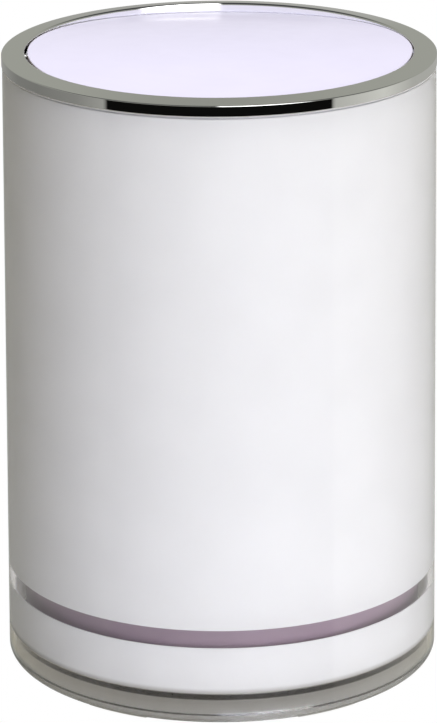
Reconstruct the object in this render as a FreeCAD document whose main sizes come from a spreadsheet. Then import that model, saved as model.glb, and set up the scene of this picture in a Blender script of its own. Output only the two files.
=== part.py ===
import FreeCAD, Part
import math
import os
import Sketcher
from FreeCAD import Placement, Rotation, Vector

# Swing-lid waste bin: a clear tube coated white inside, on a clear base tray,
# closed by a chrome collar whose disc lid turns on two side pins.
# Frame: origin on the floor at the centre of the base, +Z up, lid pins along X.

DIMENSIONS = [
    # whole bin
    ("overall_height", 273.5, "floor to the top of the chrome ring"),
    ("base_radius", 95.0, "outside radius at the floor"),
    ("neck_radius", 92.7, "outside radius at the top of the tube"),
    ("wall", 2.6, "clear tube wall"),
    ("coat", 0.35, "white coat on the inside of the tube"),
    # heights of the bands seen through the tube
    ("low_coat_bottom", 14.5, "lower edge of the lower white band"),
    ("window_bottom", 35.3, "lower edge of the clear window stripe"),
    ("window_top", 43.2, "upper edge of the clear window stripe"),
    ("coat_top_gap", 1.2, "clear rim above the upper white band"),
    # base
    ("foot_height", 1.0, "soft pads under the tray"),
    ("foot_inner", 88.9, "inside radius of the pads"),
    ("foot_outer", 91.0, "outside radius of the pads"),
    ("foot_span", 18.0, "turn covered by one pad, in degrees"),
    ("foot_count", 6, "pads"),
    ("flange_height", 4.1, "tray flange under the tube"),
    ("flange_round", 3.6, "rounding of the tray's outer bottom edge"),
    ("plug_radius", 92.1, "part of the tray that enters the tube"),
    ("tray_height", 13.0, "underside of the flange to the tray floor"),
    ("tray_floor", 3.5, "thickness of the tray floor"),
    ("recess_radius", 88.4, "hollow under the tray"),
    ("recess_draft", 0.5, "narrowing of that hollow towards its roof"),
    # inner bucket
    ("bucket_gap", 0.3, "bucket above the tray floor"),
    ("bucket_height", 237.4, "inner bucket"),
    ("bucket_bottom_radius", 87.35, "outside radius at its floor"),
    ("bucket_top_radius", 88.3, "outside radius under its lip"),
    ("bucket_wall", 1.6, "bucket wall"),
    ("bucket_floor", 2.0, "bucket floor"),
    ("bucket_round", 4.0, "rounding of its bottom edge"),
    ("lip_radius", 89.2, "outside radius of its lip"),
    ("lip_height", 4.0, "height of its lip"),
    ("grip_width", 52.0, "finger slot, end to end"),
    ("grip_height", 16.0, "finger slot, top to bottom"),
    ("grip_drop", 26.0, "top of the bucket to the middle of the slot"),
    # chrome collar
    ("ring_height", 5.7, "visible height of the chrome ring"),
    ("ring_fall", 1.35, "fall of its top from the mouth to the outer edge"),
    ("ring_outer", 93.0, "outside radius of the ring"),
    ("ring_inner", 83.0, "mouth of the ring"),
    ("mouth_round", 1.0, "rounding of the ring's mouth"),
    ("sleeve_outer", 87.0, "outside of the sleeve below the ring"),
    ("sleeve_depth", 5.8, "sleeve below the ring's seat"),
    ("ring_edge", 0.4, "rounding of the ring's outer top edge"),
    ("gasket_thick", 0.4, "gasket between ring and tube"),
    ("gasket_inset", 0.35, "gasket behind the tube's outer face"),
    # plastic plug that centres the collar in the tube
    ("plug_depth", 12.5, "plug below the ring's seat"),
    ("plug_inner", 87.1, "inside of the plug wall"),
    ("plug_outer", 89.2, "outside of the plug wall"),
    ("ledge_inner", 83.3, "inside of the ledge under the sleeve"),
    ("ledge_thick", 2.5, "thickness of that ledge"),
    ("seal_outer", 89.5, "seal ring around the plug"),
    ("groove_radius", 88.3, "bottom of the seal groove"),
    ("groove_height", 2.0, "height of the seal groove"),
    ("groove_drop", 9.0, "ring's seat to the bottom of the groove"),
    ("plug_screw_count", 6, "screws that hold the plug to the sleeve"),
    ("plug_screw_circle", 85.0, "radius of their circle"),
    # lid
    ("lid_radius", 82.2, "disc lid"),
    ("lid_recess", 0.2, "crest of the lid below the top of the ring"),
    ("lid_crown", 900.0, "radius of the lid's arched top, crest along the hinge"),
    ("lid_plate", 2.3, "thickness of the lid's top"),
    ("lid_rim", 7.2, "height of the lid's rim"),
    ("lid_rim_wall", 2.35, "thickness of the lid's rim"),
    ("lid_edge", 0.4, "rounding of the lid's upper edge"),
    ("lid_play", 0.35, "lid's sideways rest position along its pins"),
    ("pan_radius", 80.9, "closing pan under the lid"),
    ("pan_thick", 1.2, "thickness of the pan"),
    ("post_radius", 2.6, "screw posts inside the lid"),
    ("post_circle", 58.0, "radius of their circle"),
    ("post_count", 6, "screw posts"),
    ("weight_radius", 36.0, "steel counterweight"),
    ("weight_thick", 2.6, "thickness of the counterweight"),
    ("hub_radius", 9.0, "post that clamps the counterweight"),
    # lid hinge
    ("axis_drop", 3.0, "crest of the lid to the hinge axis"),
    ("pin_radius", 1.2, "steel hinge pin"),
    ("pin_inner", 71.0, "inner end of the pin from the centre"),
    ("pin_outer", 86.0, "outer end of the pin from the centre"),
    ("block_inner", 70.5, "inner end of the pin block in the lid"),
    ("block_width", 7.2, "width of the pin block"),
    ("block_depth", 5.6, "crest of the lid to the bottom of the pin block"),
    ("bush_radius", 2.0, "nylon bush in the sleeve"),
    ("bush_bore", 1.25, "bore of the bush"),
    ("bush_inner", 83.2, "inner end of the bush"),
    ("bush_outer", 86.8, "outer end of the bush"),
    ("washer_radius", 2.0, "thrust washer between lid and ring"),
    ("washer_thick", 0.25, "thickness of the washer"),
    ("washer_gap", 0.07, "washer off the lid's rim"),
    # small screws
    ("screw_radius", 1.0, "thread of the small screws"),
    ("screw_hole", 1.1, "their clearance holes"),
    ("head_radius", 1.8, "their heads"),
    ("head_height", 1.0, "height of the heads"),
    ("plug_screw_length", 6.2, "plug screw under its head"),
    ("pan_screw_length", 4.2, "pan screw under its head"),
]

SEAT = "(Dim.overall_height - Dim.ring_height)"
TUBE_BOTTOM = "(Dim.foot_height + Dim.flange_height)"
TUBE_TOP = "(Dim.overall_height - Dim.ring_height - Dim.gasket_thick)"
LID_FACE = "(Dim.overall_height - Dim.lid_recess)"
HINGE = "(Dim.overall_height - Dim.lid_recess - Dim.axis_drop)"
RING_SLOPE = "(Dim.ring_fall / (Dim.ring_outer - Dim.ring_inner))"
DRILL_SPARE = "0.4"  # blind holes run on past what they hold
SIDES = ((-1, "left"), (1, "right"))
FULL_TURN = 360.0
VOLUME_TOLERANCE = 1e-6
LENGTH_TOLERANCE = 0.01

doc = FreeCAD.newDocument("swing_lid_bin")
sheet = doc.addObject("Spreadsheet::Sheet", "Dim")
sub_parts = []


def fill_sheet():
    for row, (alias, value, meaning) in enumerate(DIMENSIONS, start=1):
        sheet.set("A%d" % row, meaning)
        sheet.set("B%d" % row, str(value))
        sheet.setAlias("B%d" % row, alias)
    doc.recompute()


def value_of(expression):
    return float(sheet.evalExpression(str(expression)))


def outer_radius(height):
    """Outside radius of the tapered tube at a height above the floor."""
    taper = "(Dim.base_radius - Dim.neck_radius) / %s" % TUBE_TOP
    return "(Dim.base_radius - %s * (%s))" % (taper, height)


def inner_radius(height):
    return "(%s - Dim.wall)" % outer_radius(height)


def new_body(label, base_height="0"):
    body = doc.addObject("PartDesign::Body", label)
    body.Label = label
    body.setExpression("Placement.Base.z", base_height)
    sub_parts.append(body)
    return body


def origin_feature(body, role):
    for feature in body.Origin.OriginFeatures:
        if feature.Role == role:
            return feature
    raise RuntimeError("no origin feature " + role)


def new_sketch(body, role, name, offset="0"):
    sketch = body.newObject("Sketcher::SketchObject", name)
    sketch.AttachmentSupport = [(origin_feature(body, role), "")]
    sketch.MapMode = "FlatFace"
    sketch.setExpression("AttachmentOffset.Base.z", offset)
    return sketch


def pin_point(sketch, edge, end, name, across, up):
    """Tie one end of a sketch edge to the sheet, measured from the sketch origin."""
    for kind, expression in (("DistanceX", across), ("DistanceY", up)):
        constraint = Sketcher.Constraint(kind, -1, 1, edge, end, value_of(expression))
        index = sketch.addConstraint(constraint)
        label = "%s_%s" % (name, kind[-1].lower())
        sketch.renameConstraint(index, label)
        sketch.setExpression("Constraints." + label, str(expression))


def draw_outline(sketch, points):
    """Closed polygon through points given as pairs of expressions."""
    corners = []
    for across, up in points:
        corners.append(Vector(value_of(across), value_of(up), 0))
    count = len(corners)
    for i in range(count):
        sketch.addGeometry(Part.LineSegment(corners[i], corners[(i + 1) % count]))
    for i in range(count):
        joint = Sketcher.Constraint("Coincident", i, 2, (i + 1) % count, 1)
        sketch.addConstraint(joint)
    for i, (across, up) in enumerate(points):
        pin_point(sketch, i, 1, "p%d" % i, across, up)


def draw_circle(sketch, across, up, radius):
    centre = Vector(value_of(across), value_of(up), 0)
    circle = Part.Circle(centre, Vector(0, 0, 1), value_of(radius))
    edge = sketch.addGeometry(circle)
    pin_point(sketch, edge, 3, "c%d" % edge, across, up)
    index = sketch.addConstraint(Sketcher.Constraint("Radius", edge, value_of(radius)))
    label = "r%d" % edge
    sketch.renameConstraint(index, label)
    sketch.setExpression("Constraints." + label, radius)


def revolve(body, points):
    """Turn a half section, drawn as (radius, height) pairs, about the Z axis."""
    sketch = new_sketch(body, "XZ_Plane", body.Name + "_section")
    draw_outline(sketch, points)
    turned = body.newObject("PartDesign::Revolution", body.Name + "_turned")
    turned.Profile = sketch
    turned.ReferenceAxis = (sketch, ["V_Axis"])
    turned.Angle = FULL_TURN
    sketch.Visibility = False
    doc.recompute()
    return turned


def cut_pocket(body, sketch, length, upwards=False, both_sides=False):
    """Pocket that must remove material, or the part is refused."""
    before = body.Shape.Volume
    pocket = body.newObject("PartDesign::Pocket", sketch.Name + "_cut")
    pocket.Profile = sketch
    pocket.setExpression("Length", length)
    pocket.Reversed = upwards
    pocket.Midplane = both_sides
    doc.recompute()
    if body.Shape.Volume > before - VOLUME_TOLERANCE:
        raise RuntimeError(sketch.Name + " cuts nothing")
    return pocket


def repeat_round(body, feature, count):
    """Repeat a feature around Z."""
    pattern = body.newObject("PartDesign::PolarPattern", feature.Name + "_round")
    pattern.Originals = [feature]
    pattern.Axis = (origin_feature(body, "Z_Axis"), [""])
    pattern.Angle = FULL_TURN
    pattern.setExpression("Occurrences", count)
    body.Tip = pattern
    doc.recompute()


def same(one, other):
    return abs(one - other) < LENGTH_TOLERANCE


def circles_at(shape, radius, height):
    """Names of the full circular edges with this radius at this height."""
    names = []
    for number, edge in enumerate(shape.Edges, start=1):
        curve = edge.Curve
        if not isinstance(curve, Part.Circle):
            continue
        if same(curve.Radius, radius) and same(curve.Center.z, height):
            names.append("Edge%d" % number)
    return names


def round_edge(body, feature, radius, height, size):
    """Round the circular edge at a radius and local height."""
    names = circles_at(feature.Shape, value_of(radius), value_of(height))
    if not names:
        raise RuntimeError("no edge to round on " + body.Label)
    fillet = body.newObject("PartDesign::Fillet", body.Name + "_round")
    fillet.Base = (feature, names)
    fillet.setExpression("Radius", size)
    doc.recompute()
    return fillet


def cylinder_x(label, radius, start, length, height):
    """Cylinder along X from start, centred at a height."""
    cylinder = doc.addObject("Part::Cylinder", label)
    cylinder.setExpression("Radius", radius)
    cylinder.setExpression("Height", length)
    cylinder.Placement = Placement(Vector(), Rotation(Vector(0, 1, 0), 90))
    cylinder.setExpression("Placement.Base.x", start)
    cylinder.setExpression("Placement.Base.z", height)
    return cylinder


def cylinder_z(label, radius, across, along, base, length):
    """Upright cylinder standing at (across, along) from a base height."""
    cylinder = doc.addObject("Part::Cylinder", label)
    cylinder.setExpression("Radius", radius)
    cylinder.setExpression("Height", length)
    cylinder.setExpression("Placement.Base.x", across)
    cylinder.setExpression("Placement.Base.y", along)
    cylinder.setExpression("Placement.Base.z", base)
    return cylinder


def cut(label, base, tool):
    result = doc.addObject("Part::Cut", label)
    result.Base = base
    result.Tool = tool
    return result


def common(label, base, tool):
    result = doc.addObject("Part::Common", label)
    result.Base = base
    result.Tool = tool
    return result


def joined(label, pieces):
    result = doc.addObject("Part::MultiFuse", label)
    result.Shapes = pieces
    return result


def compound(label, pieces):
    """Several loose identical solids that share one node."""
    result = doc.addObject("Part::Compound", label)
    result.Links = pieces
    sub_parts.append(result)


# ---- shell -------------------------------------------------------------

def make_outer_shell():
    body = new_body("outer_shell")
    revolve(body, [
        (inner_radius(TUBE_BOTTOM), TUBE_BOTTOM),
        (outer_radius(TUBE_BOTTOM), TUBE_BOTTOM),
        (outer_radius(TUBE_TOP), TUBE_TOP),
        (inner_radius(TUBE_TOP), TUBE_TOP),
    ])


def make_coat(label, bottom, top):
    """Thin white coat that follows the tapered inside of the tube."""
    body = new_body(label)
    revolve(body, [
        ("%s - Dim.coat" % inner_radius(bottom), bottom),
        (inner_radius(bottom), bottom),
        (inner_radius(top), top),
        ("%s - Dim.coat" % inner_radius(top), top),
    ])


def make_base_tray():
    body = new_body("base_tray", "Dim.foot_height")
    flange_radius = outer_radius(TUBE_BOTTOM)
    roof = "Dim.tray_height - Dim.tray_floor"
    turned = revolve(body, [
        ("Dim.recess_radius", "0"),
        (flange_radius, "0"),
        (flange_radius, "Dim.flange_height"),
        ("Dim.plug_radius", "Dim.flange_height"),
        ("Dim.plug_radius", "Dim.tray_height"),
        ("0", "Dim.tray_height"),
        ("0", roof),
        ("Dim.recess_radius - Dim.recess_draft", roof),
    ])
    round_edge(body, turned, flange_radius, "0", "Dim.flange_round")


def pad_sector(name, radius, start):
    """Slice of a cylinder, one pad wide, that starts at a turn about Z."""
    sector = doc.addObject("Part::Cylinder", name)
    sector.setExpression("Radius", radius)
    sector.setExpression("Height", "Dim.foot_height")
    sector.setExpression("Angle", "Dim.foot_span")
    sector.Placement = Placement(Vector(), Rotation(Vector(0, 0, 1), value_of(start)))
    sector.setExpression("Placement.Rotation.Angle", start)
    return sector


def make_foot_pads():
    """Curved pads on the tray's rim, the first one centred on +X."""
    pads = []
    for i in range(int(value_of("Dim.foot_count"))):
        start = "%d * 360 / Dim.foot_count - Dim.foot_span / 2" % i
        name = "foot_pad_%d" % (i + 1)
        outside = pad_sector(name + "_outside", "Dim.foot_outer", start)
        inside = pad_sector(name + "_inside", "Dim.foot_inner", start)
        pads.append(cut(name, outside, inside))
    compound("foot_pads", pads)


def make_ring_section(label, base, inner, outer, height):
    """Plain ring with a rectangular section."""
    body = new_body(label, base)
    revolve(body, [
        (inner, "0"),
        (outer, "0"),
        (outer, height),
        (inner, height),
    ])


# ---- inner bucket ------------------------------------------------------

def make_inner_bucket():
    base = "Dim.foot_height + Dim.tray_height + Dim.bucket_gap"
    body = new_body("inner_bucket", base)
    lip_bottom = "Dim.bucket_height - Dim.lip_height"
    turned = revolve(body, [
        ("0", "0"),
        ("Dim.bucket_bottom_radius", "0"),
        ("Dim.bucket_top_radius", lip_bottom),
        ("Dim.lip_radius", lip_bottom),
        ("Dim.lip_radius", "Dim.bucket_height"),
        ("Dim.bucket_top_radius - Dim.bucket_wall", "Dim.bucket_height"),
        ("Dim.bucket_bottom_radius - Dim.bucket_wall", "Dim.bucket_floor"),
        ("0", "Dim.bucket_floor"),
    ])
    round_edge(body, turned, "Dim.bucket_bottom_radius", "0", "Dim.bucket_round")
    grip = new_sketch(body, "XZ_Plane", "grip_slot")
    draw_slot(grip)
    cut_pocket(body, grip, "3 * Dim.lip_radius", both_sides=True)


def draw_slot(sketch):
    """Long hole with round ends, in the middle of the bucket's width."""
    radius = "Dim.grip_height / 2"
    half_run = "Dim.grip_width / 2 - Dim.grip_height / 2"
    level = "Dim.bucket_height - Dim.grip_drop"
    run = value_of(half_run)
    mid = value_of(level)
    size = value_of(radius)
    up = Vector(0, 0, 1)
    for side in (-1, 1):
        start = side * math.pi / 2 * -1
        circle = Part.Circle(Vector(side * run, mid, 0), up, size)
        sketch.addGeometry(Part.ArcOfCircle(circle, start, start + math.pi))
    for side in (-1, 1):
        left = Vector(-run, mid + side * size, 0)
        right = Vector(run, mid + side * size, 0)
        sketch.addGeometry(Part.LineSegment(left, right))
    # arcs 0 and 1 run anticlockwise; lines 2 (lower) and 3 (upper) run left to right
    for line, arc_left, arc_right in ((2, 2, 1), (3, 1, 2)):
        sketch.addConstraint(Sketcher.Constraint("Tangent", 0, arc_left, line, 1))
        sketch.addConstraint(Sketcher.Constraint("Tangent", 1, arc_right, line, 2))
    pin_point(sketch, 0, 3, "left_end", "-(%s)" % half_run, level)
    pin_point(sketch, 1, 3, "right_end", half_run, level)
    index = sketch.addConstraint(Sketcher.Constraint("Radius", 0, size))
    sketch.renameConstraint(index, "end_radius")
    sketch.setExpression("Constraints.end_radius", radius)


# ---- collar ------------------------------------------------------------

def make_chrome_ring():
    """Ring with a sloping top, and a sleeve that holds the hinge bushes."""
    body = new_body("chrome_ring", SEAT)
    # corner of the mouth before rounding, so that the rounded top is at ring_height
    corner = "Dim.ring_height + Dim.mouth_round * (%s + sqrt(1 + %s ^ 2) - 1)"
    mouth_corner = corner % (RING_SLOPE, RING_SLOPE)
    outer_corner = "%s - Dim.ring_fall" % mouth_corner
    turned = revolve(body, [
        ("Dim.ring_inner", "-Dim.sleeve_depth"),
        ("Dim.sleeve_outer", "-Dim.sleeve_depth"),
        ("Dim.sleeve_outer", "0"),
        ("Dim.ring_outer", "0"),
        ("Dim.ring_outer", outer_corner),
        ("Dim.ring_inner", mouth_corner),
    ])
    outside = round_edge(body, turned, "Dim.ring_outer", outer_corner, "Dim.ring_edge")
    round_edge(body, outside, "Dim.ring_inner", mouth_corner, "Dim.mouth_round")
    bores = new_sketch(body, "YZ_Plane", "bush_bores")
    draw_circle(bores, "0", "%s - %s" % (HINGE, SEAT), "Dim.bush_radius")
    cut_pocket(body, bores, "2 * (Dim.bush_outer + %s)" % DRILL_SPARE, both_sides=True)
    pilot = new_sketch(body, "XY_Plane", "pilot_hole", "-Dim.sleeve_depth")
    draw_circle(pilot, screw_across(), screw_along(), "Dim.screw_radius")
    depth = "Dim.plug_screw_length - Dim.ledge_thick + %s" % DRILL_SPARE
    hole = cut_pocket(body, pilot, depth, upwards=True)
    repeat_round(body, hole, "Dim.plug_screw_count")


def screw_across():
    """The plug screws start half a step round from the hinge axis."""
    return "Dim.plug_screw_circle * cos(180deg / Dim.plug_screw_count)"


def screw_along():
    return "Dim.plug_screw_circle * sin(180deg / Dim.plug_screw_count)"


def make_collar_plug():
    """Plastic ring under the chrome ring that centres the collar in the tube."""
    body = new_body("collar_plug", SEAT)
    ledge_top = "-Dim.sleeve_depth"
    ledge_bottom = "-Dim.sleeve_depth - Dim.ledge_thick"
    groove_bottom = "-Dim.groove_drop"
    groove_top = "-Dim.groove_drop + Dim.groove_height"
    revolve(body, [
        ("Dim.plug_inner", "-Dim.plug_depth"),
        ("Dim.plug_outer", "-Dim.plug_depth"),
        ("Dim.plug_outer", groove_bottom),
        ("Dim.groove_radius", groove_bottom),
        ("Dim.groove_radius", groove_top),
        ("Dim.plug_outer", groove_top),
        ("Dim.plug_outer", "0"),
        ("Dim.plug_inner", "0"),
        ("Dim.plug_inner", ledge_top),
        ("Dim.ledge_inner", ledge_top),
        ("Dim.ledge_inner", ledge_bottom),
        ("Dim.plug_inner", ledge_bottom),
    ])
    clearance = new_sketch(body, "XY_Plane", "ledge_hole", ledge_bottom)
    draw_circle(clearance, screw_across(), screw_along(), "Dim.screw_hole")
    hole = cut_pocket(body, clearance, "Dim.ledge_thick", upwards=True)
    repeat_round(body, hole, "Dim.plug_screw_count")


def make_screws(label, count, circle, head_top, length, start, side_shift="0"):
    """Identical screws on a circle, heads down, shanks pointing up."""
    screws = []
    for i in range(int(value_of(count))):
        turn = "(%s + %d * 360 / %s) * 1deg" % (start, i, count)
        across = "%s * cos(%s) + %s" % (circle, turn, side_shift)
        along = "%s * sin(%s)" % (circle, turn)
        name = "%s_%d" % (label, i + 1)
        head_base = "%s - Dim.head_height" % head_top
        head = cylinder_z(name + "_head", "Dim.head_radius", across, along,
                          head_base, "Dim.head_height")
        shank = cylinder_z(name + "_shank", "Dim.screw_radius", across, along,
                           head_top, length)
        screws.append(joined(name, [head, shank]))
    compound(label, screws)


# ---- lid ---------------------------------------------------------------

def side_start(side, near, far):
    """Lower X end of a piece that spans near to far on one side."""
    return near if side > 0 else "-(%s)" % far


def lid_height(drop):
    """Height at a drop below the crest of the lid."""
    return "%s - %s" % (LID_FACE, drop)


def lid_cylinder(name, radius, across, along, bottom, length):
    """Upright cylinder that stands in the lid, from a drop below its crest."""
    return cylinder_z(name, radius, "%s + Dim.lid_play" % across, along,
                      lid_height(bottom), length)


def crown_cylinder(name, below):
    """Huge lying cylinder that shapes the arched top, or a surface below it."""
    return cylinder_x(name, "Dim.lid_crown - %s" % below, "-Dim.lid_radius - 2 * Dim.lid_play",
                      "2 * Dim.lid_radius + 4 * Dim.lid_play", lid_height("Dim.lid_crown"))


def around_lid(name, radius, length):
    """Equal cylinders on the post circle, all standing on the lid's bottom plane."""
    pieces = []
    for i in range(int(value_of("Dim.post_count"))):
        turn = "(%d * 360 / Dim.post_count) * 1deg" % i
        across = "Dim.post_circle * cos(%s)" % turn
        along = "Dim.post_circle * sin(%s)" % turn
        piece = lid_cylinder("%s_%d" % (name, i + 1), radius, across, along,
                             "Dim.lid_rim", length)
        pieces.append(piece)
    return pieces


def pin_block(side, word):
    """Block under the lid's top that one hinge pin is pressed into."""
    block = doc.addObject("Part::Box", word + "_pin_block")
    near = "Dim.block_inner"
    far = "(Dim.lid_radius - Dim.lid_rim_wall / 2)"
    block.setExpression("Length", "%s - %s" % (far, near))
    block.setExpression("Width", "Dim.block_width")
    block.setExpression("Height", "Dim.block_depth - Dim.lid_plate / 2")
    start = "%s + Dim.lid_play" % side_start(side, near, far)
    block.setExpression("Placement.Base.x", start)
    block.setExpression("Placement.Base.y", "-Dim.block_width / 2")
    block.setExpression("Placement.Base.z", lid_height("Dim.block_depth"))
    return block


def pin_bore(side, word):
    """Blind bore as deep as the pin block reaches."""
    start = "%s + Dim.lid_play" % side_start(side, "Dim.block_inner", "Dim.pin_outer")
    length = "Dim.pin_outer - Dim.block_inner"
    return cylinder_x(word + "_pin_bore", "Dim.pin_radius", start, length, HINGE)


def make_lid_cap():
    """Disc lid: arched top, rim, screw posts, clamping hub and two blocks for the pins."""
    blank = lid_cylinder("lid_blank", "Dim.lid_radius", "0", "0", "Dim.lid_rim", "Dim.lid_rim")
    arched = common("lid_arched", blank, crown_cylinder("lid_top_shape", "0"))
    hollow = lid_cylinder("lid_hollow_disc", "Dim.lid_radius - Dim.lid_rim_wall", "0", "0",
                          "Dim.lid_rim", "Dim.lid_rim")
    cavity = common("lid_cavity", hollow, crown_cylinder("lid_roof_shape", "Dim.lid_plate"))
    shell = cut("lid_shell", arched, cavity)
    hub_height = "Dim.lid_rim - Dim.weight_thick - Dim.lid_plate / 2"
    hub_bottom = "(Dim.lid_rim - Dim.weight_thick)"
    added = [lid_cylinder("lid_hub", "Dim.hub_radius", "0", "0", hub_bottom, hub_height)]
    added += around_lid("lid_post", "Dim.post_radius", "Dim.lid_rim - Dim.lid_plate")
    depth = "Dim.pan_screw_length - Dim.pan_thick + %s" % DRILL_SPARE
    removed = around_lid("post_pilot", "Dim.screw_radius", depth)
    for side, word in SIDES:
        added.append(pin_block(side, word))
        removed.append(pin_bore(side, word))
    solid = joined("lid_solid", [shell] + added)
    drilled = cut("lid_drilled", solid, joined("lid_holes", removed))
    doc.recompute()
    rounded = doc.addObject("Part::Fillet", "lid_cap")
    rounded.Base = drilled
    size = value_of("Dim.lid_edge")
    rounded.Edges = [(number, size, size) for number in top_edges(drilled.Shape)]
    sub_parts.append(rounded)


def top_edges(shape):
    """Numbers of the edges where the arched top meets the lid's outside."""
    crown = value_of("Dim.lid_crown")
    outside = value_of("Dim.lid_radius")
    numbers = []
    for number, edge in enumerate(shape.Edges, start=1):
        sizes = []
        for face in shape.ancestorsOfType(edge, Part.Face):
            if isinstance(face.Surface, Part.Cylinder):
                sizes.append(face.Surface.Radius)
        if len(sizes) == 2 and same(max(sizes), crown) and same(min(sizes), outside):
            numbers.append(number)
    if not numbers:
        raise RuntimeError("no top edge to round on the lid")
    return numbers


def make_lid_pan():
    """Flat cover that closes the underside of the lid."""
    base = "%s - Dim.lid_rim - Dim.pan_thick" % LID_FACE
    body = new_body("lid_pan", base)
    body.setExpression("Placement.Base.x", "Dim.lid_play")
    revolve(body, [
        ("0", "0"),
        ("Dim.pan_radius", "0"),
        ("Dim.pan_radius", "Dim.pan_thick"),
        ("0", "Dim.pan_thick"),
    ])
    clearance = new_sketch(body, "XY_Plane", "pan_hole")
    draw_circle(clearance, "Dim.post_circle", "0", "Dim.screw_hole")
    hole = cut_pocket(body, clearance, "Dim.pan_thick", upwards=True)
    repeat_round(body, hole, "Dim.post_count")


def make_counterweight():
    """Steel disc clamped between the hub and the pan, so the lid hangs level."""
    disc = cylinder_z("counterweight", "Dim.weight_radius", "Dim.lid_play", "0",
                      "%s - Dim.lid_rim" % LID_FACE, "Dim.weight_thick")
    sub_parts.append(disc)


def make_hinge(side, word):
    """Steel pin fixed in the lid, running in a nylon bush in the sleeve."""
    pin_start = "%s + Dim.lid_play" % side_start(side, "Dim.pin_inner", "Dim.pin_outer")
    pin = cylinder_x(word + "_hinge_pin", "Dim.pin_radius", pin_start,
                     "Dim.pin_outer - Dim.pin_inner", HINGE)
    sub_parts.append(pin)
    bush_start = side_start(side, "Dim.bush_inner", "Dim.bush_outer")
    bush_length = "Dim.bush_outer - Dim.bush_inner"
    solid = cylinder_x(word + "_bush_solid", "Dim.bush_radius", bush_start, bush_length, HINGE)
    hole = cylinder_x(word + "_bush_hole", "Dim.bush_bore", bush_start, bush_length, HINGE)
    sub_parts.append(cut(word + "_hinge_bush", solid, hole))


def make_thrust_washer(side, word):
    """Nylon washer on the pin, in the gap between the lid's rim and the ring."""
    near = "Dim.lid_radius + Dim.washer_gap"
    far = "%s + Dim.washer_thick" % near
    start = "%s + Dim.lid_play" % side_start(side, near, far)
    label = word + "_thrust_washer"
    disc = cylinder_x(label + "_disc", "Dim.washer_radius", start, "Dim.washer_thick", HINGE)
    hole = cylinder_x(label + "_hole", "Dim.pin_radius", start, "Dim.washer_thick", HINGE)
    sub_parts.append(cut(label, disc, hole))


def build():
    fill_sheet()
    make_outer_shell()
    make_coat("white_coat_lower", "Dim.low_coat_bottom", "Dim.window_bottom")
    make_coat("white_coat_upper", "Dim.window_top", "%s - Dim.coat_top_gap" % TUBE_TOP)
    make_base_tray()
    make_foot_pads()
    make_inner_bucket()
    make_chrome_ring()
    make_ring_section("rim_gasket", TUBE_TOP, "%s + Dim.gasket_inset" % inner_radius(TUBE_TOP),
                      "Dim.neck_radius - Dim.gasket_inset", "Dim.gasket_thick")
    make_collar_plug()
    make_ring_section("plug_seal", "%s - Dim.groove_drop" % SEAT, "Dim.groove_radius",
                      "Dim.seal_outer", "Dim.groove_height")
    make_screws("plug_screws", "Dim.plug_screw_count", "Dim.plug_screw_circle",
                "%s - Dim.sleeve_depth - Dim.ledge_thick" % SEAT,
                "Dim.plug_screw_length", "180 / Dim.plug_screw_count")
    make_lid_cap()
    make_lid_pan()
    make_counterweight()
    make_screws("pan_screws", "Dim.post_count", "Dim.post_circle",
                "%s - Dim.lid_rim - Dim.pan_thick" % LID_FACE,
                "Dim.pan_screw_length", "0", "Dim.lid_play")
    for side, word in SIDES:
        make_hinge(side, word)
        make_thrust_washer(side, word)
    doc.recompute()


def check():
    """Stop before writing anything if an object failed or a shape is bad."""
    for item in doc.Objects:
        for word in ("Invalid", "Error"):
            if word in item.State:
                raise RuntimeError("%s is %s" % (item.Name, word))
    for item in sub_parts:
        if item.Shape.isNull() or not item.Shape.isValid():
            raise RuntimeError("bad shape: " + item.Label)


def export():
    os.makedirs("parts", exist_ok=True)
    for item in sub_parts:
        item.Shape.exportStep("parts/%s.step" % item.Label)
        print(item.Label, len(item.Shape.Solids), "solid(s)", round(item.Shape.Volume), "mm3")


build()
check()
export()
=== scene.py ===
import math

import bpy
from mathutils import Matrix, Vector


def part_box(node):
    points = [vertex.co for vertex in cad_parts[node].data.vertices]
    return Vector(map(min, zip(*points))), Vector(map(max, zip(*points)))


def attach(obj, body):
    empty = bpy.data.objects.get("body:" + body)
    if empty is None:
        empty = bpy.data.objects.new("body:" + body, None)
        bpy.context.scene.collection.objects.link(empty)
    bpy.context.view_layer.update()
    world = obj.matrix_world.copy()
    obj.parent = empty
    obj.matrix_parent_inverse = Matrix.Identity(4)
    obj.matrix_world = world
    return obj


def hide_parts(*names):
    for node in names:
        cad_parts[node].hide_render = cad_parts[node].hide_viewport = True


# Swing-lid waste bin: clear tube with white coats behind it, chrome ring, disc lid.
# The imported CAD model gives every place. Each piece below stands for one CAD node, at
# the same size and with finer detail.

MM = 0.001

# mesh detail
LATHE_STEPS = 288
SECTOR_STEPS = 24
ARC_STEPS = 6
SHARP_ANGLE = math.radians(32)
SUPPORT = 0.05 * MM
SHORTEST_SUPPORTED = 18 * SUPPORT
ON_AXIS = 1e-7
SAME_HEIGHT = 0.02 * MM

# screws, on circles about the tube's axis; the lid and its pan rest a little to one
# side along the hinge pins
SCREW_COUNT = 6
SCREW_HOLE = 1.1 * MM
PLUG_SCREW_CIRCLE = 85.0 * MM
PLUG_SCREW_START = 30
PAN_SCREW_CIRCLE = 58.0 * MM
PAN_SCREW_START = 0
LID_PLAY = 0.35 * MM

COATS = ("white_coat_upper", "white_coat_lower")

# clear acrylic: its tint, the tint of its shadow, and roughness from and to
ACRYLIC = (0.985, 0.99, 0.988)
ACRYLIC_SHADOW = (0.96, 0.965, 0.962)
POLISHED = (0.0, 0.012)
FROSTED = (0.16, 0.24)

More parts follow.
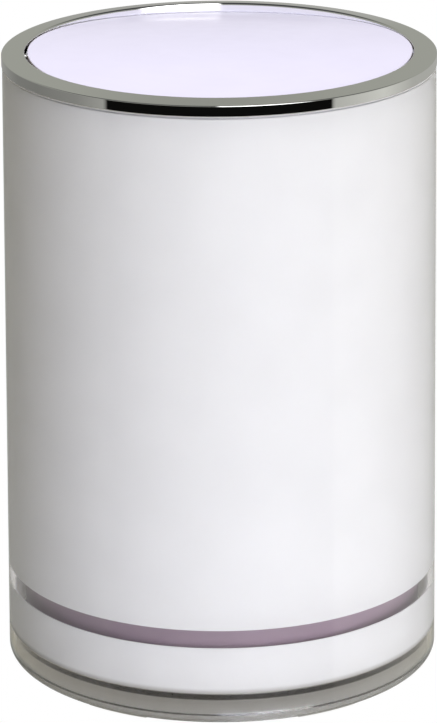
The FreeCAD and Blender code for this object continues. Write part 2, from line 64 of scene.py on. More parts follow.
# plastics: two close tones, roughness from and to, grain in features per metre, depth
# of the grain in metres, index of refraction
PLASTICS = {
    "white_coat": ((0.90, 0.90, 0.90), (0.93, 0.93, 0.93), (0.30, 0.42), 900.0, 0.0000012, 1.5),
    "foot_rubber": ((0.55, 0.56, 0.57), (0.62, 0.63, 0.64), (0.45, 0.60), 700.0, 0.00004, 1.42),
    "bucket_plastic": ((0.35, 0.262, 0.318), (0.38, 0.285, 0.345), (0.32, 0.46), 1100.0,
                       0.000006, 1.5),
    "gasket": ((0.70, 0.70, 0.70), (0.76, 0.76, 0.76), (0.50, 0.65), 900.0, 0.00003, 1.42),
    "plug_plastic": ((0.76, 0.76, 0.79), (0.80, 0.80, 0.83), (0.35, 0.50), 1000.0, 0.00003, 1.5),
    "nylon": ((0.78, 0.77, 0.73), (0.83, 0.82, 0.78), (0.35, 0.50), 1200.0, 0.00002, 1.5),
    "lid_plastic": ((0.85, 0.82, 0.93), (0.87, 0.84, 0.95), (0.14, 0.18), 60.0, 0.000004, 1.42),
}

# metals: colour, roughness from and to, polishing marks per metre, their depth in metres
METALS = {
    "chrome": ((0.90, 0.905, 0.89), (0.015, 0.05), 90.0, 0.000003),
    "screw_steel": ((0.62, 0.61, 0.58), (0.22, 0.36), 600.0, 0.00001),
    "pin_steel": ((0.80, 0.80, 0.79), (0.10, 0.20), 800.0, 0.000005),
    "weight_steel": ((0.42, 0.41, 0.40), (0.35, 0.50), 300.0, 0.00002),
}

# features per metre of the slow change of tone and polish in a plastic and in acrylic
TONE_SCALE = 38.0
PLASTIC_POLISH_SCALE = 140.0
ACRYLIC_POLISH_SCALE = 220.0
ACRYLIC_WAVE_SCALE = 16.0
# where the middle of a noise texture's values lies
NOISE_MIDDLE = (0.35, 0.65)
TONE_STOPS = (0.3, 0.7)

# camera: metres in front of the bin's axis and above the floor, its turns and its lens
CAMERA_BACK = 1.6524
CAMERA_HEIGHT = 0.6834
CAMERA_PITCH = math.radians(18.440)
CAMERA_ROLL = math.radians(-0.292)
CAMERA_YAW = math.radians(0.0326)
CAMERA_SENSOR = 24.0
CAMERA_LENS = 132.03
CAMERA_REACH = 100.0

# studio: soft light on everything, and the room that only mirrors see
BACKDROP = (1.0, 1.0, 1.0)
SOFT_LIGHT = (0.415, 0.365, 0.228)
WALLS = (0.345, 0.35, 0.315)
CEILING = (0.06, 0.06, 0.065)
LAMP_IN_MIRRORS = (3.0, 3.0, 3.0)
# turn from the front in degrees, negative to the left, and grey at that turn
LOW_ROOM = ((-180, 0.38), (-133, 0.20), (-111, 0.19), (-80, 0.235), (-62.6, 0.33), (-60.6, 0.004),
            (60.6, 0.004), (62.4, 0.46), (96, 0.62), (123, 0.42), (180, 0.40))
LOW_ROOM_BLUE = 0.94
# edges in that room, from and to: heights as sines of the angle above level, turns in degrees
LOW_ROOM_TOP = (0.12, 0.02)
CEILING_EDGE = (0.42, 0.75)
LAMP_FOOT = (0.10, 0.22)
LAMP_HEAD = (0.97, 0.94)
LAMP_LEFT = (-3, 2)
LAMP_RIGHT = (52, 47)

FLOOR_SIZE = 60.0
TABLE_GLOW = (1.0, 0.94, 0.80)
TABLE_GLOW_STRENGTH = 0.13


# ---- mesh helpers --------------------------------------------------------

def radii_at(node, height):
    """Smallest and largest radius of a CAD node's points at a height."""
    found = []
    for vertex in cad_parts[node].data.vertices:
        if abs(vertex.co.z - height) < SAME_HEIGHT:
            found.append(math.hypot(vertex.co.x, vertex.co.y))
    return min(found), max(found)


def arc(centre_r, centre_z, radius, start, end, steps=ARC_STEPS):
    """Points of a rounding in a half section, angles in degrees from +R to +Z."""
    points = []
    for i in range(steps + 1):
        angle = math.radians(start + (end - start) * i / steps)
        points.append((centre_r + radius * math.cos(angle), centre_z + radius * math.sin(angle)))
    return points


def spun(radius, angle, height, shift=0.0):
    """Point at a radius, an angle about Z in radians and a height, moved along X."""
    return (radius * math.cos(angle) + shift, radius * math.sin(angle), height)


def finish_mesh(mesh):
    """Check a mesh, and shade it smooth up to its sharp edges."""
    mesh.update()
    mesh.validate()
    mesh.shade_smooth()
    mesh.set_sharp_from_angle(angle=SHARP_ANGLE)


def new_object(name, vertices, faces):
    """Object made of points and faces, placed in the scene."""
    mesh = bpy.data.meshes.new(name)
    mesh.from_pydata(vertices, [], faces)
    finish_mesh(mesh)
    obj = bpy.data.objects.new(name, mesh)
    bpy.context.scene.collection.objects.link(obj)
    return obj


def supported(section):
    """Section with a point close to both ends of every straight run, so that the
    shading of the roundings doesn't spread over the flats."""
    points = []
    for start, end in zip(section, section[1:] + section[:1]):
        points.append(start)
        length = math.dist(start, end)
        if length > SHORTEST_SUPPORTED:
            for share in (SUPPORT / length, 1 - SUPPORT / length):
                points.append((start[0] + (end[0] - start[0]) * share,
                               start[1] + (end[1] - start[1]) * share))
    return points


def lathe(name, section, steps=LATHE_STEPS):
    """Solid of revolution from a closed half section of (radius, height) points."""
    vertices = []
    rings = []
    for radius, height in supported(section):
        first = len(vertices)
        if radius < ON_AXIS:
            rings.append([first] * steps)
            vertices.append((0.0, 0.0, height))
        else:
            rings.append(list(range(first, first + steps)))
            for i in range(steps):
                vertices.append(spun(radius, 2 * math.pi * i / steps, height))
    faces = []
    for lower, upper in zip(rings, rings[1:] + rings[:1]):
        for i in range(steps):
            k = (i + 1) % steps
            corners = []
            for corner in (lower[i], lower[k], upper[k], upper[i]):
                if corner not in corners:
                    corners.append(corner)
            if len(corners) > 2:
                faces.append(corners)
    return new_object(name, vertices, faces)


def sectors(name, section, spans):
    """Blocks swept round Z from one section, one for each (start, end) in degrees."""
    vertices = []
    faces = []
    count = len(section)
    for start, end in spans:
        first = len(vertices)
        for i in range(SECTOR_STEPS + 1):
            angle = math.radians(start + (end - start) * i / SECTOR_STEPS)
            vertices += [spun(radius, angle, height) for radius, height in section]
        for i in range(SECTOR_STEPS):
            for k in range(count):
                here = first + i * count
                after = (k + 1) % count
                faces.append((here + k, here + count + k, here + count + after, here + after))
        last = first + SECTOR_STEPS * count
        faces.append(list(range(first, first + count)))
        faces.append(list(range(last + count - 1, last - 1, -1)))
    return new_object(name, vertices, faces)


def prism(outline, low, high):
    """Upright block on an outline of (x, y) points, to cut with."""
    count = len(outline)
    vertices = [(across, along, low) for across, along in outline]
    vertices += [(across, along, high) for across, along in outline]
    faces = [list(range(count - 1, -1, -1)), list(range(count, 2 * count))]
    for i in range(count):
        k = (i + 1) % count
        faces.append((i, k, count + k, count + i))
    return new_object("prism", vertices, faces)


def chamfered(radius, low, high, chamfer, bore=0.0):
    """Half section of a round piece with chamfered edges, solid or with a bore."""
    return [
        (bore, low),
        (radius - chamfer, low),
        (radius, low + chamfer),
        (radius, high - chamfer),
        (radius - chamfer, high),
        (bore, high),
    ]


def rounded(inner, outer, low, high, size):
    """Half section of a ring with four rounded edges."""
    return [
        *arc(outer - size, low + size, size, -90, 0),
        *arc(outer - size, high - size, size, 0, 90),
        *arc(inner + size, high - size, size, 90, 180),
        *arc(inner + size, low + size, size, 180, 270),
    ]


def around(count, start=0.0):
    """Equal turns about Z, in radians, from a start in degrees."""
    return [math.radians(start + 360 * i / count) for i in range(count)]


def subtract(obj, tool):
    """Take a tool away from a piece, and remove the tool."""
    modifier = obj.modifiers.new("cut", "BOOLEAN")
    modifier.operation = "DIFFERENCE"
    modifier.solver = "EXACT"
    modifier.object = tool
    shaped = bpy.context.evaluated_depsgraph_get()
    mesh = bpy.data.meshes.new_from_object(obj.evaluated_get(shaped))
    obj.modifiers.clear()
    obj.data = mesh
    bpy.data.objects.remove(tool)
    finish_mesh(mesh)


def merged(pieces):
    """One object from several."""
    bpy.ops.object.select_all(action="DESELECT")
    for piece in pieces:
        piece.select_set(True)
    bpy.context.view_layer.objects.active = pieces[0]
    bpy.ops.object.join()
    return pieces[0]


def drill(obj, radius, circle, turns, low, high):
    """Upright holes through a piece, on a circle about Z."""
    tools = []
    for turn in turns:
        tool = lathe("drill", chamfered(radius, low, high, 0.1 * radius), 32)
        tool.data.transform(Matrix.Translation(spun(circle, turn, 0)))
        tools.append(tool)
    subtract(obj, merged(tools))


def lay_along_x(obj, height):
    """Turn an upright piece down onto the hinge axis, its Z lengths along X."""
    down = Matrix.Rotation(math.pi / 2, 4, "Y")
    obj.data.transform(Matrix.Translation((0, 0, height)) @ down)


def place(obj, body, material, slot, *nodes):
    """Give a piece its material and its body, and hide the nodes it stands for. The slot is not
    used.
    """
    obj.data.materials.clear()
    obj.data.materials.append(material)
    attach(obj, body)
    if nodes:
        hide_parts(*nodes)


# ---- node helpers ----------------------------------------------------------

def shader_of(material):
    """A material's node tree and its Principled shader."""
    tree = material.node_tree
    return tree, tree.nodes["Principled BSDF"]


def new_material(name):
    """New material with its node tree and its Principled shader."""
    material = bpy.data.materials.new(name)
    material.use_nodes = True
    return material, *shader_of(material)


def add_node(tree, kind, **settings):
    """New shader node of a kind, with its settings."""
    node = tree.nodes.new(kind)
    for key, value in settings.items():
        setattr(node, key, value)
    return node


def coordinates(tree, space):
    """X, Y and Z of the point being shaded, in a space of the coordinate node."""
    where = add_node(tree, "ShaderNodeTexCoord")
    axes = add_node(tree, "ShaderNodeSeparateXYZ")
    tree.links.new(where.outputs[space], axes.inputs["Vector"])
    return axes.outputs


def noise(tree, scale, detail=3.0):
    """Noise in object space: the scale is in features per metre."""
    where = add_node(tree, "ShaderNodeTexCoord")
    texture = add_node(tree, "ShaderNodeTexNoise")
    texture.inputs["Scale"].default_value = scale
    texture.inputs["Detail"].default_value = detail
    tree.links.new(where.outputs["Object"], texture.inputs["Vector"])
    return texture.outputs["Fac"]


def between(tree, value, start, end, low=0.0, high=1.0, kind="SMOOTHSTEP"):
    """Number that goes from low to high while a value goes from start to end."""
    step = add_node(tree, "ShaderNodeMapRange", interpolation_type=kind)
    step.inputs["From Min"].default_value = start
    step.inputs["From Max"].default_value = end
    step.inputs["To Min"].default_value = low
    step.inputs["To Max"].default_value = high
    tree.links.new(value, step.inputs["Value"])
    return step.outputs["Result"]


def math_node(tree, operation, first, second):
    """Result of an operation on two values, each a number or another node's output."""
    node = add_node(tree, "ShaderNodeMath", operation=operation)
    for index, source in enumerate((first, second)):
        if isinstance(source, (int, float)):
            node.inputs[index].default_value = source
        else:
            tree.links.new(source, node.inputs[index])
    return node.outputs["Value"]


def mix_colour(tree, factor, first, second):
    """Colour between two, each a tuple or another node's output."""
    node = add_node(tree, "ShaderNodeMix", data_type="RGBA")
    tree.links.new(factor, node.inputs["Factor"])
    # the node's colour sockets are A at 6, B at 7 and the result at 2
    for socket, source in ((node.inputs[6], first), (node.inputs[7], second)):
        if isinstance(source, tuple):
            socket.default_value = (*source, 1.0)
        else:
            tree.links.new(source, socket)
    return node.outputs[2]


def two_tones(tree, source, first, second):
    """Colour that wanders between two close tones."""
    ramp = add_node(tree, "ShaderNodeValToRGB")
    for stop, position, colour in zip(ramp.color_ramp.elements, TONE_STOPS, (first, second)):
        stop.position = position
        stop.color = (*colour, 1.0)
    tree.links.new(source, ramp.inputs["Fac"])
    return ramp.outputs["Color"]


def uneven_polish(tree, shader, scale, detail, roughness):
    """Roughness that wanders between two values."""
    polish = between(tree, noise(tree, scale, detail), *NOISE_MIDDLE, *roughness, kind="LINEAR")
    tree.links.new(polish, shader.inputs["Roughness"])


def bump(tree, shader, source, distance):
    """Fine surface relief, its depth in metres."""
    node = add_node(tree, "ShaderNodeBump")
    node.inputs["Distance"].default_value = distance
    tree.links.new(source, node.inputs["Height"])
    tree.links.new(node.outputs["Normal"], shader.inputs["Normal"])


# ---- materials -------------------------------------------------------------

def plastic(name, first, second, roughness, grain, grain_depth, ior):
    """Moulded plastic: close colour tones, uneven polish and a fine surface."""
    material, tree, shader = new_material(name)
    tint = two_tones(tree, noise(tree, TONE_SCALE), first, second)
    tree.links.new(tint, shader.inputs["Base Color"])
    uneven_polish(tree, shader, PLASTIC_POLISH_SCALE, 5.0, roughness)
    bump(tree, shader, noise(tree, grain, 2.0), grain_depth)
    shader.inputs["IOR"].default_value = ior
    return material


def metal(name, colour, roughness, grain, grain_depth):
    """Metal with fine polishing marks."""
    material, tree, shader = new_material(name)
    shader.inputs["Metallic"].default_value = 1.0
    shader.inputs["Base Color"].default_value = (*colour, 1.0)
    uneven_polish(tree, shader, grain, 6.0, roughness)
    bump(tree, shader, noise(tree, grain, 2.0), grain_depth)
    return material


def clear_acrylic(name, roughness):
    """Clear moulded acrylic. Shadow rays pass it, so lamps light what is behind it."""
    material, tree, shader = new_material(name)
    shader.inputs["Base Color"].default_value = (*ACRYLIC, 1.0)
    shader.inputs["Transmission Weight"].default_value = 1.0
    shader.inputs["IOR"].default_value = 1.49
    uneven_polish(tree, shader, ACRYLIC_POLISH_SCALE, 6.0, roughness)
    bump(tree, shader, noise(tree, ACRYLIC_WAVE_SCALE, 1.0), 0.02 * MM)
    through = add_node(tree, "ShaderNodeBsdfTransparent")
    through.inputs["Color"].default_value = (*ACRYLIC_SHADOW, 1.0)
    path = add_node(tree, "ShaderNodeLightPath")
    mix = add_node(tree, "ShaderNodeMixShader")
    tree.links.new(path.outputs["Is Shadow Ray"], mix.inputs["Fac"])
    tree.links.new(shader.outputs["BSDF"], mix.inputs[1])
    tree.links.new(through.outputs["BSDF"], mix.inputs[2])
    tree.links.new(mix.outputs["Shader"], tree.nodes["Material Output"].inputs["Surface"])
    return material


def tray_acrylic():
    """The same acrylic for the tray, lightly frosted, with painted shade: its colour darkens
    towards its thick floor.
    """
    clear_below = 6.0 * MM
    painted_shade_above = 14.5 * MM
    material = clear_acrylic("tray_acrylic", FROSTED)
    tree, shader = shader_of(material)
    depth = between(tree, coordinates(tree, "Object")["Z"], clear_below, painted_shade_above)
    # painted shade: the tray's colour darkens to this grey towards its floor, where the bin shades
    # it
    tint = mix_colour(tree, depth, ACRYLIC, (0.77, 0.76, 0.74))
    tree.links.new(tint, shader.inputs["Base Color"])
    return material


def paint_shade_on_low_edge(material):
    """Paint shade along the lowest edge of the lower band: the lacquer's colour darkens softly to
    grey there.
    """
    white_above = 17.0 * MM
    painted_shade_below = 14.3 * MM
    tree, shader = shader_of(material)
    base = shader.inputs["Base Color"]
    edge = between(tree, coordinates(tree, "Object")["Z"], white_above, painted_shade_below)
    # painted shade: the coat's colour darkens to this grey at its lowest edge
    tint = mix_colour(tree, edge, base.links[0].from_socket, (0.50, 0.49, 0.47))
    tree.links.new(tint, base)


def make_materials():
    """Every finish, by its name."""
    made = {"clear_acrylic": clear_acrylic("clear_acrylic", POLISHED),
            "tray_acrylic": tray_acrylic()}
    for name, values in PLASTICS.items():
        made[name] = plastic(name, *values)
    # painted shade along the lower band's lowest edge
    paint_shade_on_low_edge(made["white_coat"])
    for name, values in METALS.items():
        made[name] = metal(name, *values)
    return made


# ---- pieces ----------------------------------------------------------------

def tube_wall(height):
    """Inside and outside radius of the tapered clear tube at a height."""
    low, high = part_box("outer_shell")
    inner_low, outer_low = radii_at("outer_shell", low.z)
    inner_high, outer_high = radii_at("outer_shell", high.z)
    share = (height - low.z) / (high.z - low.z)
    inner = inner_low + (inner_high - inner_low) * share
    outer = outer_low + (outer_high - outer_low) * share
    return inner, outer


def make_tube(materials):
    """Clear tube. Behind each coat its inner face sits inside the coat, so the two
    meet as paint on glass does, with no film of air between them."""
    low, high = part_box("outer_shell")
    embed = 0.15 * MM
    joint_gap = 0.05 * MM
    edge = 0.35 * MM
    bottom = low.z + joint_gap
    section = [
        (tube_wall(bottom)[0], bottom),
        (tube_wall(bottom)[1], bottom),
        *arc(tube_wall(high.z)[1] - edge, high.z - edge, edge, 0, 90),
        (tube_wall(high.z)[0], high.z),
    ]
    for node in COATS:
        coat_low, coat_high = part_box(node)
        section += [
            (tube_wall(coat_high.z)[0], coat_high.z),
            (tube_wall(coat_high.z)[0] - embed, coat_high.z),
            (tube_wall(coat_low.z)[0] - embed, coat_low.z),
            (tube_wall(coat_low.z)[0], coat_low.z),
        ]
    tube = lathe("clear_tube", section)
    place(tube, "shell", materials["clear_acrylic"], "clear_acrylic", "outer_shell")


def make_coats(materials):
    """The two white coats, just inside the tube."""
    for node in COATS:
        low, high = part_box(node)
        inner_low, outer_low = radii_at(node, low.z)
        inner_high, outer_high = radii_at(node, high.z)
        coat = lathe(node + "_paint", [
            (inner_low, low.z),
            (outer_low, low.z),
            (outer_high, high.z),
            (inner_high, high.z),
        ])
        place(coat, "shell", materials["white_coat"], "white_coat", node)


def make_tray(materials):
    """Clear base tray with a rounded foot edge and a hollow underside."""
    low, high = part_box("base_tray")
    flange_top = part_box("outer_shell")[0].z
    inset = 0.01 * MM
    flange = tube_wall(flange_top)[1] - inset
    plug = radii_at("base_tray", high.z)[1]
    foot_inner = radii_at("base_tray", low.z)[0]
    edge = 3.6 * MM
    small = 0.4 * MM
    roof = low.z + 9.5 * MM
    draft = 0.5 * MM
    section = [
        (foot_inner, low.z),
        *arc(flange - edge, low.z + edge, edge, -90, 0, 10),
        (flange, flange_top),
        (plug, flange_top),
        *arc(plug - small, high.z - small, small, 0, 90),
        (0.0, high.z),
        (0.0, roof),
        *arc(foot_inner - draft - small, roof - small, small, 90, 0),
    ]
    tray = lathe("clear_tray", section)
    place(tray, "shell", materials["tray_acrylic"], "clear_acrylic", "base_tray")


def make_ring(materials):
    """Chrome ring with a sloping top and its sleeve, and the two bores for the bushes."""
    low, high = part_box("chrome_ring")
    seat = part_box("rim_gasket")[1].z
    mouth, sleeve = radii_at("chrome_ring", low.z)
    outer = high.x
    mouth_edge = 1.0 * MM
    outer_edge = 0.4 * MM
    under_edge = 0.2 * MM
    slope = 0.135
    tilt = math.degrees(math.atan(slope))
    outer_shoulder = high.z - 1.556 * MM
    section = [
        (mouth, low.z),
        (sleeve, low.z),
        (sleeve, seat),
        *arc(outer - under_edge, seat + under_edge, under_edge, -90, 0, 3),
        *arc(outer - outer_edge, outer_shoulder, outer_edge, 0, 90 - tilt, 8),
        *arc(mouth + mouth_edge, high.z - mouth_edge, mouth_edge, 90 - tilt, 180, 12),
    ]
    ring = lathe("chrome_collar_ring", section)
    bush_low, bush_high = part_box("left_hinge_bush")
    bore = (bush_high.z - bush_low.z) / 2
    reach = 87.2 * MM
    drill_bit = lathe("bush_bores", chamfered(bore, -reach, reach, 0.1 * MM), 64)
    lay_along_x(drill_bit, (bush_high.z + bush_low.z) / 2)
    subtract(ring, drill_bit)
    place(ring, "collar", materials["chrome"], "chrome", "chrome_ring")


def make_lid(materials):
    """Disc lid with an arched top, a rounded edge, and the rim round its hollow."""
    low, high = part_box("lid_cap")
    radius = (high.x - low.x) / 2
    play = (high.x + low.x) / 2
    crown = 900.0 * MM
    edge = 0.5 * MM
    under_edge = 0.3 * MM
    plate = 2.3 * MM
    rim = 2.35 * MM
    flat_rim = 1.0 * MM
    rings = 10
    top = [(radius - edge, high.z)]
    roof = [(0.0, high.z - plate)]
    for i in range(1, rings):
        share = i / rings
        top.append(((radius - edge) * (1 - share), high.z))
        roof.append(((radius - rim) * share, high.z - plate))
    section = [
        (radius - rim, low.z),
        *arc(radius - under_edge, low.z + under_edge, under_edge, -90, 0, 4),
        *arc(radius - edge, high.z - edge, edge, 0, 90, 8)[:-1],
        *top,
        (0.0, high.z),
        *roof,
        (radius - rim, high.z - plate),
    ]
    lid = lathe("lid_cover", section)
    for vertex in lid.data.vertices:
        if vertex.co.z > low.z + flat_rim:
            vertex.co.z -= crown - math.sqrt(crown ** 2 - vertex.co.y ** 2)
    lid.data.transform(Matrix.Translation((play, 0, 0)))
    finish_mesh(lid.data)
    place(lid, "lid", materials["lid_plastic"], "lid_plastic", "lid_cap")


def make_foot_pads(materials):
    """Six soft curved pads with rounded edges."""
    low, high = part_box("foot_pads")
    inner, outer = radii_at("foot_pads", low.z)
    edge = 0.3 * MM
    section = rounded(inner, outer, low.z, high.z, edge)
    half_span = 9.0
    spans = [(turn - half_span, turn + half_span) for turn in range(0, 360, 60)]
    pads = sectors("soft_foot_pads", section, spans)
    place(pads, "shell", materials["foot_rubber"], "foot_rubber", "foot_pads")


def make_bucket(materials):
    """Lift-out bucket: tapered wall, rounded bottom, rounded lip and two finger slots."""
    low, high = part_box("inner_bucket")
    lip = high.x
    lip_bottom = high.z - 4.0 * MM
    lip_under_edge = 0.2 * MM
    bottom = 87.35 * MM
    bottom_edge = 4.0 * MM
    neck = 88.3 * MM
    wall = 1.6 * MM
    floor = low.z + 2.0 * MM
    floor_edge = 2.4 * MM
    edge = 0.5 * MM
    section = [
        (0.0, low.z),
        *arc(bottom - bottom_edge, low.z + bottom_edge, bottom_edge, -90, 0, 10),
        (neck, lip_bottom),
        *arc(lip - lip_under_edge, lip_bottom + lip_under_edge, lip_under_edge, -90, 0, 3),
        *arc(lip - edge, high.z - edge, edge, 0, 90),
        *arc(neck - wall + edge, high.z - edge, edge, 90, 180),
        *arc(bottom - wall - floor_edge, floor + floor_edge, floor_edge, 0, -90, 8),
        (0.0, floor),
    ]
    bucket = lathe("bucket_shell", section)
    half_run = 18.0 * MM
    half_slot = 8.0 * MM
    slot_level = high.z - 26.0 * MM
    slot = arc(half_run, 0.0, half_slot, -90, 90, 16) + arc(-half_run, 0.0, half_slot, 90, 270, 16)
    both_walls = prism(slot, -1.5 * lip, 1.5 * lip)
    level = Matrix.Rotation(math.pi / 2, 4, "X")
    both_walls.data.transform(Matrix.Translation((0, 0, slot_level)) @ level)
    subtract(bucket, both_walls)
    place(bucket, "bucket", materials["bucket_plastic"], "bucket_plastic", "inner_bucket")


def make_plug(materials):
    """Plug that centres the collar, with its seal groove, its ledge and six screw holes."""
    low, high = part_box("collar_plug")
    inner, outer = radii_at("collar_plug", low.z)
    seal_low, seal_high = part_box("plug_seal")
    groove = radii_at("plug_seal", seal_low.z)[0]
    ledge = 83.3 * MM
    ledge_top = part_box("chrome_ring")[0].z
    ledge_bottom = ledge_top - 2.5 * MM
    edge = 0.3 * MM
    plug = lathe("centring_plug", [
        (inner, low.z),
        (outer - 2 * edge, low.z),
        (outer, low.z + 2 * edge),
        (outer, seal_low.z),
        (groove, seal_low.z),
        (groove, seal_high.z),
        (outer, seal_high.z),
        *arc(outer - edge, high.z - edge, edge, 0, 90, 4),
        (inner, high.z),
        (inner, ledge_top),
        *arc(ledge + edge, ledge_top - edge, edge, 90, 180, 4),
        *arc(ledge + edge, ledge_bottom + edge, edge, 180, 270, 4),
        (inner, ledge_bottom),
    ])
    turns = around(SCREW_COUNT, PLUG_SCREW_START)
    drill(plug, SCREW_HOLE, PLUG_SCREW_CIRCLE, turns, ledge_bottom - MM, ledge_top + MM)
    place(plug, "collar", materials["plug_plastic"], "plug_plastic", "collar_plug")


def make_seals(materials):
    """Soft ring that grips the tube, and the flat gasket between ring and tube."""
    low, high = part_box("plug_seal")
    groove = radii_at("plug_seal", low.z)[0]
    edge = 0.3 * MM
    seal = lathe("grip_seal", [
        (groove, low.z),
        *arc(high.x - edge, low.z + edge, edge, -90, 0, 4),
        *arc(high.x - edge, high.z - edge, edge, 0, 90, 4),
        (groove, high.z),
    ])
    place(seal, "collar", materials["gasket"], "gasket", "plug_seal")
    low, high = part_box("rim_gasket")
    inside, outside = radii_at("rim_gasket", low.z)
    gasket = lathe("flat_gasket", rounded(inside, outside, low.z, high.z, 0.1 * MM))
    place(gasket, "collar", materials["gasket"], "gasket", "rim_gasket")


def make_pan(materials):
    """Cover under the lid, with a rounded edge and six screw holes, and the weight it holds."""
    low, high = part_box("lid_pan")
    radius = (high.x - low.x) / 2
    shift = Matrix.Translation(((high.x + low.x) / 2, 0, 0))
    edge = 0.4 * MM
    pan = lathe("closing_pan", [
        (0.0, low.z),
        *arc(radius - edge, low.z + edge, edge, -90, 0),
        (radius, high.z),
        (0.0, high.z),
    ])
    turns = around(SCREW_COUNT, PAN_SCREW_START)
    drill(pan, SCREW_HOLE, PAN_SCREW_CIRCLE, turns, low.z - MM, high.z + MM)
    pan.data.transform(shift)
    place(pan, "lid", materials["lid_plastic"], "lid_plastic", "lid_pan")
    low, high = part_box("counterweight")
    weight = lathe("steel_weight", chamfered((high.x - low.x) / 2, low.z, high.z, edge))
    weight.data.transform(shift)
    place(weight, "lid", materials["weight_steel"], "weight_steel", "counterweight")


def cross_recess(low, high):
    """Cutter for the recess in a screw's head: a cross with four equal arms."""
    arm = 1.1 * MM
    half = 0.2 * MM
    outline = []
    quarter = [(arm, -half), (arm, half), (half, half)]
    for _ in range(4):
        outline += quarter
        quarter = [(-along, across) for across, along in quarter]
    return prism(outline, low, high)


def make_screws(materials, node, body, circle, start, shift=0.0):
    """Six screws, heads down: domed head with a cross recess, and a threaded shank."""
    low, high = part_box(node)
    head = 1.8 * MM
    dome = 0.6 * MM
    head_top = low.z + 1.0 * MM
    thread_root = 0.82 * MM
    thread_crest = 0.99 * MM
    pitch = 0.5 * MM
    thread = []
    level = head_top
    while level < high.z - 2 * pitch:
        thread += [(thread_root, level), (thread_crest, level + pitch / 2)]
        level += pitch
    section = [
        (0.0, low.z),
        *arc(head - dome, low.z + dome, dome, -90, 0),
        (head, head_top),
        *thread,
        (thread_root, level),
        (0.0, high.z),
    ]
    recess_depth = 0.45 * MM
    screws = []
    for turn in around(SCREW_COUNT, start):
        screw = lathe("screw", section, 40)
        subtract(screw, cross_recess(low.z - 0.5 * MM, low.z + recess_depth))
        screw.data.transform(Matrix.Translation(spun(circle, turn, 0, shift)))
        screws.append(screw)
    screw_set = merged(screws)
    screw_set.name = node + "_turned"
    place(screw_set, body, materials["screw_steel"], "screw_steel", node)


def make_hinge(materials):
    """Pins, bushes and washers, turned pieces with chamfered edges on the hinge axis."""
    # end of the node's name, body, slot, chamfer, bore
    pieces = (("hinge_pin", "lid", "pin_steel", 0.25 * MM, 0.0),
              ("hinge_bush", "collar", "nylon", 0.25 * MM, 1.25 * MM),
              ("thrust_washer", "lid", "nylon", 0.06 * MM, 1.2 * MM))
    for side in ("left", "right"):
        for word, body, slot, chamfer, bore in pieces:
            node = "%s_%s" % (side, word)
            low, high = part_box(node)
            section = chamfered((high.z - low.z) / 2, low.x, high.x, chamfer, bore)
            piece = lathe(node + "_turned", section, 64)
            lay_along_x(piece, (high.z + low.z) / 2)
            place(piece, body, materials[slot], slot, node)


# ---- stage -----------------------------------------------------------------

def make_floor():
    """Pale light table. The camera sees white paper in its place; the clear base shows
    the table itself, shaded under the bin."""
    bpy.ops.mesh.primitive_plane_add(size=FLOOR_SIZE, location=(0, 0, 0))
    floor = bpy.context.object
    floor.name = "floor"
    material, tree, shader = new_material("floor_paint")
    shader.inputs["Roughness"].default_value = 0.8
    tint = two_tones(tree, noise(tree, 3.0), (0.86, 0.86, 0.86), (0.88, 0.88, 0.88))
    tree.links.new(tint, shader.inputs["Base Color"])
    shader.inputs["Emission Color"].default_value = (*TABLE_GLOW, 1.0)
    shader.inputs["Emission Strength"].default_value = TABLE_GLOW_STRENGTH
    material.cycles.emission_sampling = "NONE"
    floor.data.materials.append(material)
    floor.visible_camera = False
    floor.visible_diffuse = False
    floor.visible_glossy = False


def low_room(tree, turn):
    """What mirrors see level with the bin, round from behind on the left: walls, a
    black front, and a paler wall on the right."""
    ramp = add_node(tree, "ShaderNodeValToRGB")
    stops = ramp.color_ramp.elements
    for degrees, _ in LOW_ROOM[1:-1]:
        stops.new(0.5 + degrees / 360)
    # a new stop moves the ones after it, so the greys are set once all are in place
    for stop, (_, grey) in zip(stops, LOW_ROOM):
        stop.color = (grey, grey, grey * LOW_ROOM_BLUE, 1.0)
    share = math_node(tree, "MULTIPLY", turn, 0.5 / math.pi)
    tree.links.new(math_node(tree, "ADD", share, 0.5), ramp.inputs["Fac"])
    return ramp.outputs["Color"]


def lamp_patch(tree, turn, up):
    """1 where mirrors see the tall lamp on the right of the camera."""
    left_edge = between(tree, turn, *map(math.radians, LAMP_LEFT))
    right_edge = between(tree, turn, *map(math.radians, LAMP_RIGHT))
    across = math_node(tree, "MULTIPLY", left_edge, right_edge)
    foot = between(tree, up, *LAMP_FOOT)
    head = between(tree, up, *LAMP_HEAD)
    upright = math_node(tree, "MULTIPLY", foot, head)
    return math_node(tree, "MULTIPLY", across, upright)


def make_world():
    """Studio around the bin. Straight views of the backdrop are plain white, mirrors see
    the grey room with its black front, and everything else gets warm soft light."""
    world = bpy.data.worlds.new("studio")
    world.use_nodes = True
    bpy.context.scene.world = world
    tree = world.node_tree
    side, away, up = coordinates(tree, "Generated")
    turn = math_node(tree, "ARCTAN2", side, math_node(tree, "MULTIPLY", away, -1.0))
    room = mix_colour(tree, between(tree, up, *CEILING_EDGE), WALLS, CEILING)
    low = between(tree, up, *LOW_ROOM_TOP)
    room = mix_colour(tree, low, room, low_room(tree, turn))
    room = mix_colour(tree, lamp_patch(tree, turn, up), room, LAMP_IN_MIRRORS)
    path = add_node(tree, "ShaderNodeLightPath")
    colour = mix_colour(tree, path.outputs["Is Glossy Ray"], SOFT_LIGHT, room)
    colour = mix_colour(tree, path.outputs["Is Camera Ray"], colour, BACKDROP)
    tree.links.new(colour, tree.nodes["Background"].inputs["Color"])


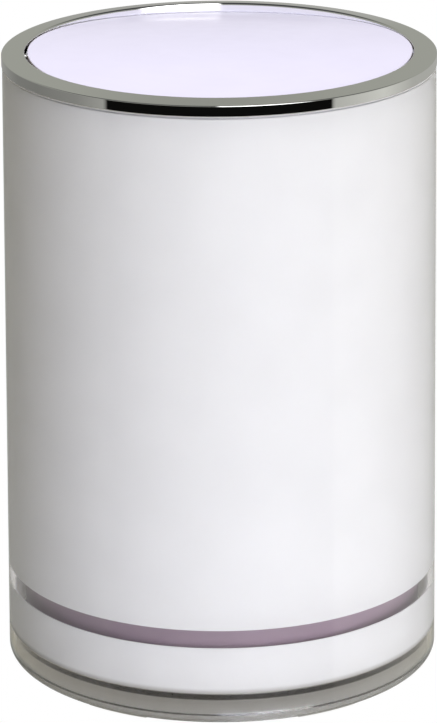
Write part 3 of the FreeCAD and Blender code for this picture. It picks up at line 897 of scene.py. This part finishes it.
def soft_box(name, target, azimuth, elevation, distance, size, power, colour):
    """Square lamp that faces the target from a direction given in degrees."""
    lamp = bpy.data.lights.new(name, "AREA")
    lamp.shape = "SQUARE"
    lamp.size = size
    lamp.energy = power
    lamp.color = colour
    obj = bpy.data.objects.new(name, lamp)
    bpy.context.scene.collection.objects.link(obj)
    turn = math.radians(azimuth)
    lift = math.radians(elevation)
    direction = Vector((math.sin(turn) * math.cos(lift), -math.cos(turn) * math.cos(lift),
                        math.sin(lift)))
    obj.location = target + direction * distance
    obj.rotation_euler = direction.to_track_quat("Z", "Y").to_euler()
    obj.visible_camera = False
    obj.visible_glossy = False


def make_lights():
    """Two large lamps on the right of the camera, and a small one over the lid."""
    middle = Vector((0, 0, 0.15))
    lid = Vector((0, 0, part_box("lid_cap")[1].z))
    soft_box("key", middle, azimuth=33, elevation=8, distance=5.0, size=3.0, power=64.0,
             colour=(1.0, 0.975, 0.95))
    soft_box("fill", middle, azimuth=15, elevation=8, distance=5.0, size=3.0, power=46.8,
             colour=(0.63, 0.67, 1.0))
    soft_box("lid_lamp", lid, azimuth=0, elevation=90, distance=0.8, size=0.15, power=6.35,
             colour=(0.735, 0.77, 1.0))


def make_camera():
    """Camera in front of the bin, looking a little down."""
    data = bpy.data.cameras.new("camera")
    camera = bpy.data.objects.new("camera", data)
    bpy.context.scene.collection.objects.link(camera)
    data.sensor_fit = "VERTICAL"
    data.sensor_height = CAMERA_SENSOR
    data.lens = CAMERA_LENS
    data.clip_end = CAMERA_REACH
    turn = (Matrix.Rotation(CAMERA_YAW, 4, "Z")
            @ Matrix.Rotation(math.pi / 2 - CAMERA_PITCH, 4, "X")
            @ Matrix.Rotation(CAMERA_ROLL, 4, "Z"))
    camera.matrix_world = Matrix.Translation((0, -CAMERA_BACK, CAMERA_HEIGHT)) @ turn
    bpy.context.scene.camera = camera


# ---- build -----------------------------------------------------------------

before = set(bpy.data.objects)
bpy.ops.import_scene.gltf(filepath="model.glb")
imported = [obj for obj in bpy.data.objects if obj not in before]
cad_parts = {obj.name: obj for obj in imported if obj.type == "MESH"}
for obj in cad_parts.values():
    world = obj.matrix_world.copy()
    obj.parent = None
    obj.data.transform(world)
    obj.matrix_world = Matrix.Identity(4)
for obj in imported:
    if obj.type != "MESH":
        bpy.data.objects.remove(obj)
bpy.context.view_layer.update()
bpy.context.scene.view_settings.view_transform = "Standard"
materials = make_materials()
make_tube(materials)
make_coats(materials)
make_tray(materials)
make_ring(materials)
make_lid(materials)
make_foot_pads(materials)
make_bucket(materials)
make_plug(materials)
make_seals(materials)
make_pan(materials)
make_screws(materials, "plug_screws", "collar", PLUG_SCREW_CIRCLE, PLUG_SCREW_START)
make_screws(materials, "pan_screws", "lid", PAN_SCREW_CIRCLE, PAN_SCREW_START, LID_PLAY)
make_hinge(materials)
make_floor()
make_world()
make_lights()
make_camera()
